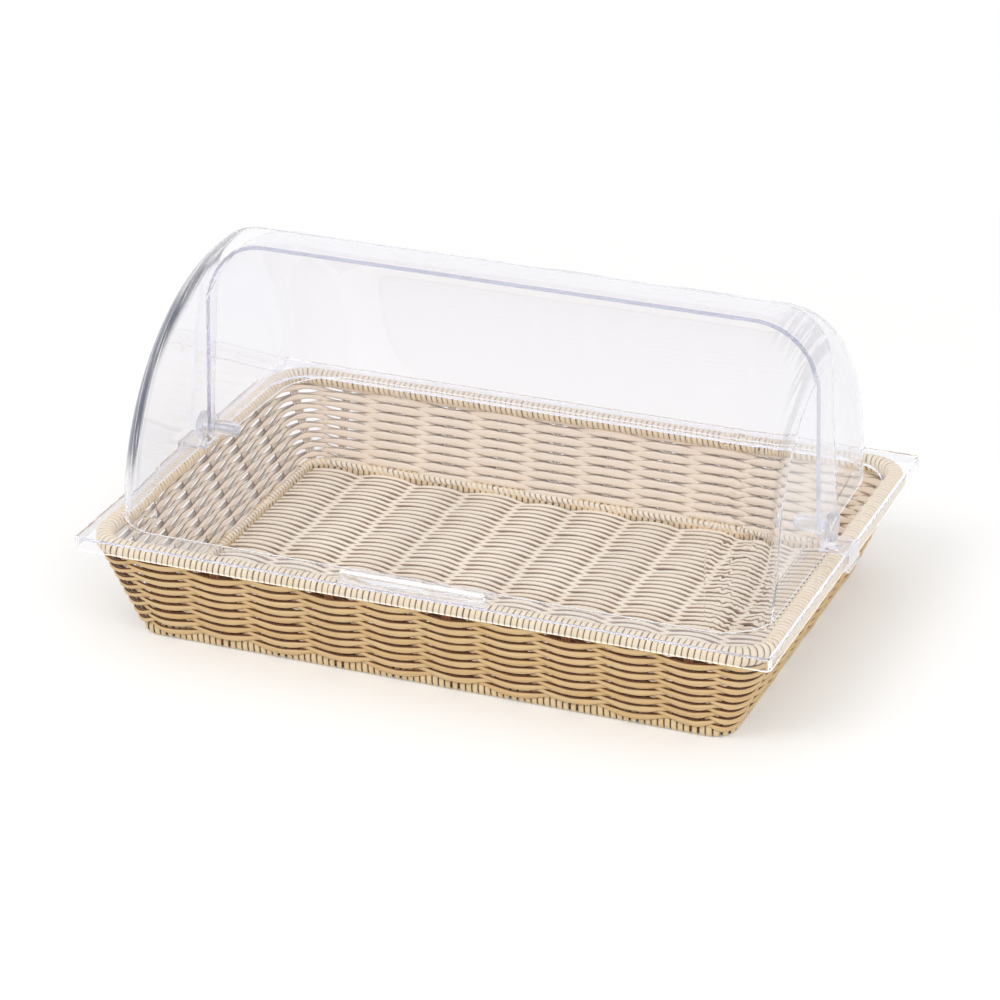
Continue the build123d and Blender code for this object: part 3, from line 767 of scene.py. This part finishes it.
def coil(s, half, width, bottom, turns):
    # turns of strand round a border; half is its outer outline, and a turn has a place, a width and a height
    lineX, lineY, lineR = (v - width / 2 for v in half)
    n = s["around"]
    cs, sn = np.cos(roundTurn(n)), np.sin(roundTurn(n))
    box = (np.abs(cs) ** s["power"] + np.abs(sn) ** s["power"]) ** (-1 / s["power"])
    # painted shade: each turn is darkened towards its sides and its inner face, where it meets its neighbours
    # and the wall
    depth = np.clip(coilPaintedShadeAndSqueeze["dark"] - coilPaintedShadeAndSqueeze["light"] * np.sin(roundTurn(s["sides"])), 0, 1)
    up = np.array([0, 0, 1.0])
    strands = []
    for place, wide, tall in turns:
        a, b = (v / 2 - s["thick"] / 2 for v in (width, tall))
        x, y, nx, ny = (v[0] for v in roundedPath(lineX, lineY, lineR, np.array([place])))
        normal, along = np.array([nx, ny, 0]), np.array([-ny, nx, 0])
        out, rise = a * cs * box, b * sn * box
        at = (np.array([x, y, bottom + tall / 2]) + normal * out[:, None] + up * rise[:, None]
              + along * (s["slant"] * sn)[:, None])
        inCorner = abs(abs(nx) + abs(ny) - 1) > 1e-6
        spread = 1 + out / max(lineR, 1) if inCorner else np.ones(n)
        facing = normal * (cs / max(a, 0.1))[:, None] + up * (sn / max(b, 0.1))[:, None]
        facing /= np.linalg.norm(facing, axis=1)[:, None]
        strands.append({"at": at, "u": np.broadcast_to(along, (n, 3)), "v": facing,
                        "hu": wide / 2 * np.clip(spread, *coilPaintedShadeAndSqueeze["squeeze"]),
                        "hv": np.full(n, s["thick"] / 2), "depth": depth,
                        "shade": random.uniform(0, basketSet["shades"]), "closed": True})
    return strands


def evenTurns(s, half, width):
    # how many turns of about the strand's pitch go round a border, and the step between them
    total = pathLength(*(v - width / 2 for v in half))
    count = int(total / s["pitch"])
    return count, total / count


def makeRim():
    b, s = basketSet, rimSet
    width, height = b["rimBand"]
    count, step = evenTurns(s, b["rimHalf"], width)
    places = (np.arange(count) + random.uniform(-s["stray"], s["stray"], count)) * step
    widths = step * random.uniform(*s["fill"], count)
    turns = zip(places, widths, [height] * count)
    addStrands("rimWrap", coil(s, b["rimHalf"], width, b["rimBottom"], turns), s["sides"], rimFinish,
               "rim_wrap")


def makeBorder():
    b, s = basketSet, borderSet
    width = b["borderBand"][0]
    stations, total = stakeStations(*(v - width / 2 for v in b["baseHalf"]))
    places, widths = [], []
    for here, after in zip(stations, [*stations[1:], stations[0] + total]):
        places.append(here)
        widths.append(s["single"])
        free = after - here - s["single"] - 2 * s["gap"]
        turns = max(2, int(round(free / s["pitch"])))
        wide = free / turns
        for i in range(turns):
            places.append(here + s["single"] / 2 + s["gap"] + wide * (i + 0.5))
            widths.append(wide * s["fill"])
    # the border dips at every second stake
    marks = np.concatenate([[stations[-1] - total], stations, [stations[0] + total]])
    stake = np.interp(np.mod(places, total), marks, np.arange(-1, len(stations) + 1))
    heights = s["high"] - (s["high"] - s["low"]) * np.maximum(0.0, np.cos(np.pi * stake))
    addStrands("baseBorderWrap", coil(s, b["baseHalf"], width, 0.0, zip(places, widths, heights)), s["sides"],
               borderFinish, "base_border")


makeRim()
makeBorder()
print("borders wrapped")

floorSet = {
    "rows": 42,
    "reach": 2.15,
    "push": 3.2,  # how far a strand bows towards the back where it passes over a stake
    "stray": 0.3,
    "early": 0.05,
    "firstRow": 0.25,
    "width": 5.85,
    "waist": 0.84,
    "swell": 0.12,
    "thick": 2.9,
    "steps": 9,
    "sides": 12,
    "middle": 5.0,
    "halfX": 229.4,
    "halfY": 151.9,
    "corner": 11.4,
}


def makeFloor():
    f, stakePitch = floorSet, basketSet["stakePitch"]
    xs = spaced(basketSet["longStakes"], stakePitch)
    lengths = [xs[0] - stakePitch, *xs, xs[-1] + stakePitch]
    knots = np.arange(-1, len(xs) + 1)
    pitch = 2 * f["halfY"] / f["rows"]
    turn = roundTurn(f["sides"])
    strands = []
    for row in range(f["rows"]):
        y0 = -f["halfY"] + pitch * (row + f["firstRow"])
        deep = max(0.0, abs(y0) - (f["halfY"] - f["corner"]))
        reachX = f["halfX"] - f["corner"] + math.sqrt(max(f["corner"] ** 2 - deep ** 2, 0))
        q = stakeSteps([-reachX, reachX], lengths, knots, f["steps"])
        x = np.interp(q, knots, lengths)
        n = len(q)
        for half in (0, 1):
            drift = np.interp(q, knots, random.uniform(-1, 1, len(knots)))
            phase = np.pi * (q + half + f["early"] * drift)
            up = f["reach"] * np.cos(phase)
            side = (y0 + half * pitch / 2 + f["push"] * (np.maximum(np.cos(phase), 0) - 0.5)
                    + f["stray"] * drift)
            strands.append({"at": np.stack([x, side, f["middle"] + up], 1),
                            "u": np.tile([0, 1.0, 0], (n, 1)), "v": np.tile([0, 0, 1.0], (n, 1)),
                            "hu": f["width"] / 2 * strandSwell(f, phase), "hv": np.full(n, f["thick"] / 2),
                            "depth": paintedStrandShade(up, f["reach"], turn),
                            "shade": random.uniform(0, basketSet["shades"])})
    addStrands("floorStrands", strands, f["sides"], floorFinish, "floor_weave")


makeFloor()
print("floor woven")

edgingSet = {"pitch": 4.6, "thick": 1.9, "around": 12, "sides": 6, "power": 2.2, "slant": 1.2,
             "width": 4.5, "height": 6.0, "bottom": 8.0, "clear": 0.1, "fill": 0.97}


def makeEdging():
    b, s = basketSet, edgingSet
    half = [v - b["wall"] - s["clear"] for v in b["footHalf"]]
    count, step = evenTurns(s, half, s["width"])
    turns = ((i * step, step * s["fill"], s["height"]) for i in range(count))
    addStrands("floorEdgingWrap", coil(s, half, s["width"], s["bottom"], turns), s["sides"], floorFinish,
               "floor_edging")


makeEdging()
print("floor edged")

rodSet = {"diameter": 2.4, "step": 2.5, "sides": 10, "points": 8, "foot": 12.0, "head": 73.0, "depth": 0.1}


def rodStrand(low, high, inward=(0, 0, 0)):
    s = rodSet
    low, high = np.array(low, float), np.array(high, float)
    along = (high - low) / np.linalg.norm(high - low)
    u = np.cross(along, [0, 0, 1.0]) if abs(along[2]) < 0.9 else np.cross(along, [0, 1.0, 0])
    u /= np.linalg.norm(u)
    v = np.cross(along, u)
    n = s["points"]
    turn = roundTurn(s["sides"])[:, None]
    faces = np.cos(turn) * u + np.sin(turn) * v
    # depth is the rods' painted gap shade, and inner their painted paler inside
    return {"at": low + (high - low) * np.linspace(0, 1, n)[:, None], "u": np.tile(u, (n, 1)),
            "v": np.tile(v, (n, 1)), "hu": np.full(n, s["diameter"] / 2), "hv": np.full(n, s["diameter"] / 2),
            "depth": s["depth"], "inner": np.clip(paintedShadeAndLightSet["facing"] * faces @ np.array(inward, float), 0, 1),
            "shade": random.uniform(0, basketSet["shades"])}


def makeStakes():
    # each stake is three rods side by side
    b, s = basketSet, rodSet
    long, short = b["longStakes"], b["shortStakes"]
    threes = [i * s["step"] for i in (-1, 0, 1)]
    groups = {"front": [], "right": [], "back": [], "left": [], "corner": []}
    levels = [(z, wallHalf(z), stakeStations(*wallHalf(z))[0]) for z in (s["foot"], s["head"])]
    owner = (["front"] * (long // 2) + ["corner"] + ["right"] * short + ["corner"] + ["back"] * long
             + ["corner"] + ["left"] * short + ["corner"] + ["front"] * (long - long // 2))
    for k, name in enumerate(owner):
        for aside in threes:
            ends = []
            for z, half, stations in levels:
                x, y, nx, ny = roundedPath(*half, np.array([stations[k] + aside]))
                ends.append((x[0], y[0], z))
            groups[name].append(rodStrand(*ends, (-nx[0], -ny[0], 0)))
    for name, rods in groups.items():
        addStrands(name + "Stakes", rods, s["sides"], wireFinish, name + "_stakes")
    y, z = floorSet["halfY"], floorSet["middle"]
    rods = [rodStrand((x + aside, -y, z), (x + aside, y, z)) for x in spaced(long, b["stakePitch"])
            for aside in threes]
    addStrands("floorRods", rods, s["sides"], wireFinish, "floor_stakes")


makeStakes()
print("basket ready")


fitSet = {"shrink": 0.04, "crease": 32.0}


def clearFitting(name, material, body):
    # the moulded fitting, drawn in by a hair so that it never shares a face with the frame under it
    work = bmesh.new()
    work.from_mesh(nodes[name].data)
    bmesh.ops.remove_doubles(work, verts=work.verts, dist=1e-6)
    bmesh.ops.recalc_face_normals(work, faces=work.faces)
    work.normal_update()
    places = [v.co - v.normal * fitSet["shrink"] * mm for v in work.verts]
    for v, place in zip(work.verts, places):
        v.co = place
    mesh = bpy.data.meshes.new(name + "Moulded")
    work.to_mesh(mesh)
    work.free()
    mesh.polygons.foreach_set("use_smooth", np.ones(len(mesh.polygons), bool))
    mesh.set_sharp_from_angle(angle=math.radians(fitSet["crease"]))
    addPiece(name + "Moulded", mesh, material, body, name)


for name, material in (("front_cover", frontCoverFinish), ("rear_cover", rearCoverFinish),
                       ("clear_frame", frameFinish), ("rim_hoop", wireFinish), ("base_hoop", wireFinish)):
    nodes[name].data.materials.clear()
    nodes[name].data.materials.append(material)
for name in nodes:
    if name in ("locating_tabs", "front_handle") or name.startswith(("pivot_", "pin_")):
        clearFitting(name, handleFinish if name == "front_handle" else fittingFinish, bodyOf[name])
print("clear pieces ready")


roomSet = {
    "floorSize": 60.0,
    "paper": (0.86, 0.86, 0.86, 1),
    "paperRough": 0.9,
    "lift": 0.2,
    "shadowReach": (0.35, 0.95),
    "worldLevel": 0.76,
    "worldTint": (1.0, 0.995, 0.985, 1),
    "sky": ((0.0, (1, 1, 1)), (0.5, (1, 1, 1)), (0.85, (0.9, 0.9, 0.95)), (1.0, (0.78, 0.79, 0.86))),
    # name, place, power and size of each lamp, which all face one spot
    "lamps": (("softKey", (-1.1, -1.9, 2.4), 23.0, 1.6), ("softFill", (1.8, -1.4, 1.6), 14.0, 1.8)),
    "aim": (0, 0, 0.08),
    "bounces": 20,
    "clearLayers": 24,
}


def seenRay(tree, place):
    # 1 for what is seen straight, in a gloss or through the clear pieces
    x, y = place
    path = addNode(tree, "ShaderNodeLightPath", place).outputs
    seen = calculate(tree, (x + 200, y), "MAXIMUM", path["Is Camera Ray"], path["Is Glossy Ray"])
    return calculate(tree, (x + 350, y), "MAXIMUM", seen, path["Is Transmission Ray"])


def makeCounter(s):
    mesh = bpy.data.meshes.new("counterTop")
    h = s["floorSize"] / 2
    mesh.from_pydata([(-h, -h, 0), (h, -h, 0), (h, h, 0), (-h, h, 0)], [], [(0, 1, 2, 3)])
    floor = bpy.data.objects.new("counterTop", mesh)
    scene.collection.objects.link(floor)
    material, tree = newMaterial("palePaper")
    # where it is seen, the paper lifts to white away from the shadow
    seen = seenRay(tree, (-900, -300))
    place = addNode(tree, "ShaderNodeTexCoord", (-900, 300)).outputs["Object"]
    far = addNode(tree, "ShaderNodeVectorMath", (-700, 300), {0: place}, operation="LENGTH").outputs["Value"]
    far = remap(tree, (-550, 300), far, *s["shadowReach"], smooth=True)
    shader = addNode(tree, "ShaderNodeBsdfPrincipled", (0, 0), {
        "Base Color": s["paper"],
        "Roughness": s["paperRough"],
        "Specular IOR Level": 0.0,
        "Emission Color": (1, 1, 1, 1),
        "Emission Strength": calculate(tree, (-380, -300), "MULTIPLY", seen, s["lift"]),
    })
    white = addNode(tree, "ShaderNodeEmission", (0, 250)).outputs["Emission"]
    amount = calculate(tree, (-380, 200), "MULTIPLY", far, seen)
    surface = mixShader(tree, (300, 100), amount, shader.outputs["BSDF"], white)
    addNode(tree, "ShaderNodeOutputMaterial", (500, 0), {"Surface": surface})
    mesh.materials.append(material)


def makeAir(s):
    world = bpy.data.worlds.new("studioAir")
    scene.world = world
    world.use_nodes = True
    tree = world.node_tree
    tree.nodes.clear()
    height = spot(tree, (-900, 100), "Generated")["Z"]
    ramp = addNode(tree, "ShaderNodeValToRGB", (-500, 100), {"Fac": height})
    stops = ramp.color_ramp.elements
    while len(stops) < len(s["sky"]):
        stops.new(0.5)
    for stop, (place, colour) in zip(stops, s["sky"]):
        stop.position = place
        stop.color = (*colour, 1.0)
    seen = addNode(tree, "ShaderNodeBackground", (-200, 100), {"Color": ramp.outputs["Color"]})
    lit = addNode(tree, "ShaderNodeBackground", (-200, -100), {
        "Color": s["worldTint"], "Strength": s["worldLevel"]})
    surface = mixShader(tree, (50, 0), seenRay(tree, (-600, -300)), lit.outputs[0], seen.outputs[0])
    addNode(tree, "ShaderNodeOutputWorld", (250, 0), {"Surface": surface})


def makeLamps(s):
    for name, place, power, size in s["lamps"]:
        data = bpy.data.lights.new(name, "AREA")
        data.energy = power
        data.size = size
        lamp = bpy.data.objects.new(name, data)
        scene.collection.objects.link(lamp)
        lamp.visible_glossy = False
        lamp.visible_transmission = False
        lamp.location = place
        lamp.rotation_mode = "QUATERNION"
        lamp.rotation_quaternion = (Vector(s["aim"]) - Vector(place)).to_track_quat("-Z", "Y")


makeCounter(roomSet)
makeAir(roomSet)
makeLamps(roomSet)
scene.cycles.max_bounces = roomSet["bounces"]
scene.cycles.glossy_bounces = roomSet["bounces"]
scene.cycles.transmission_bounces = roomSet["bounces"]
scene.cycles.transparent_max_bounces = roomSet["clearLayers"]
print("room lit")
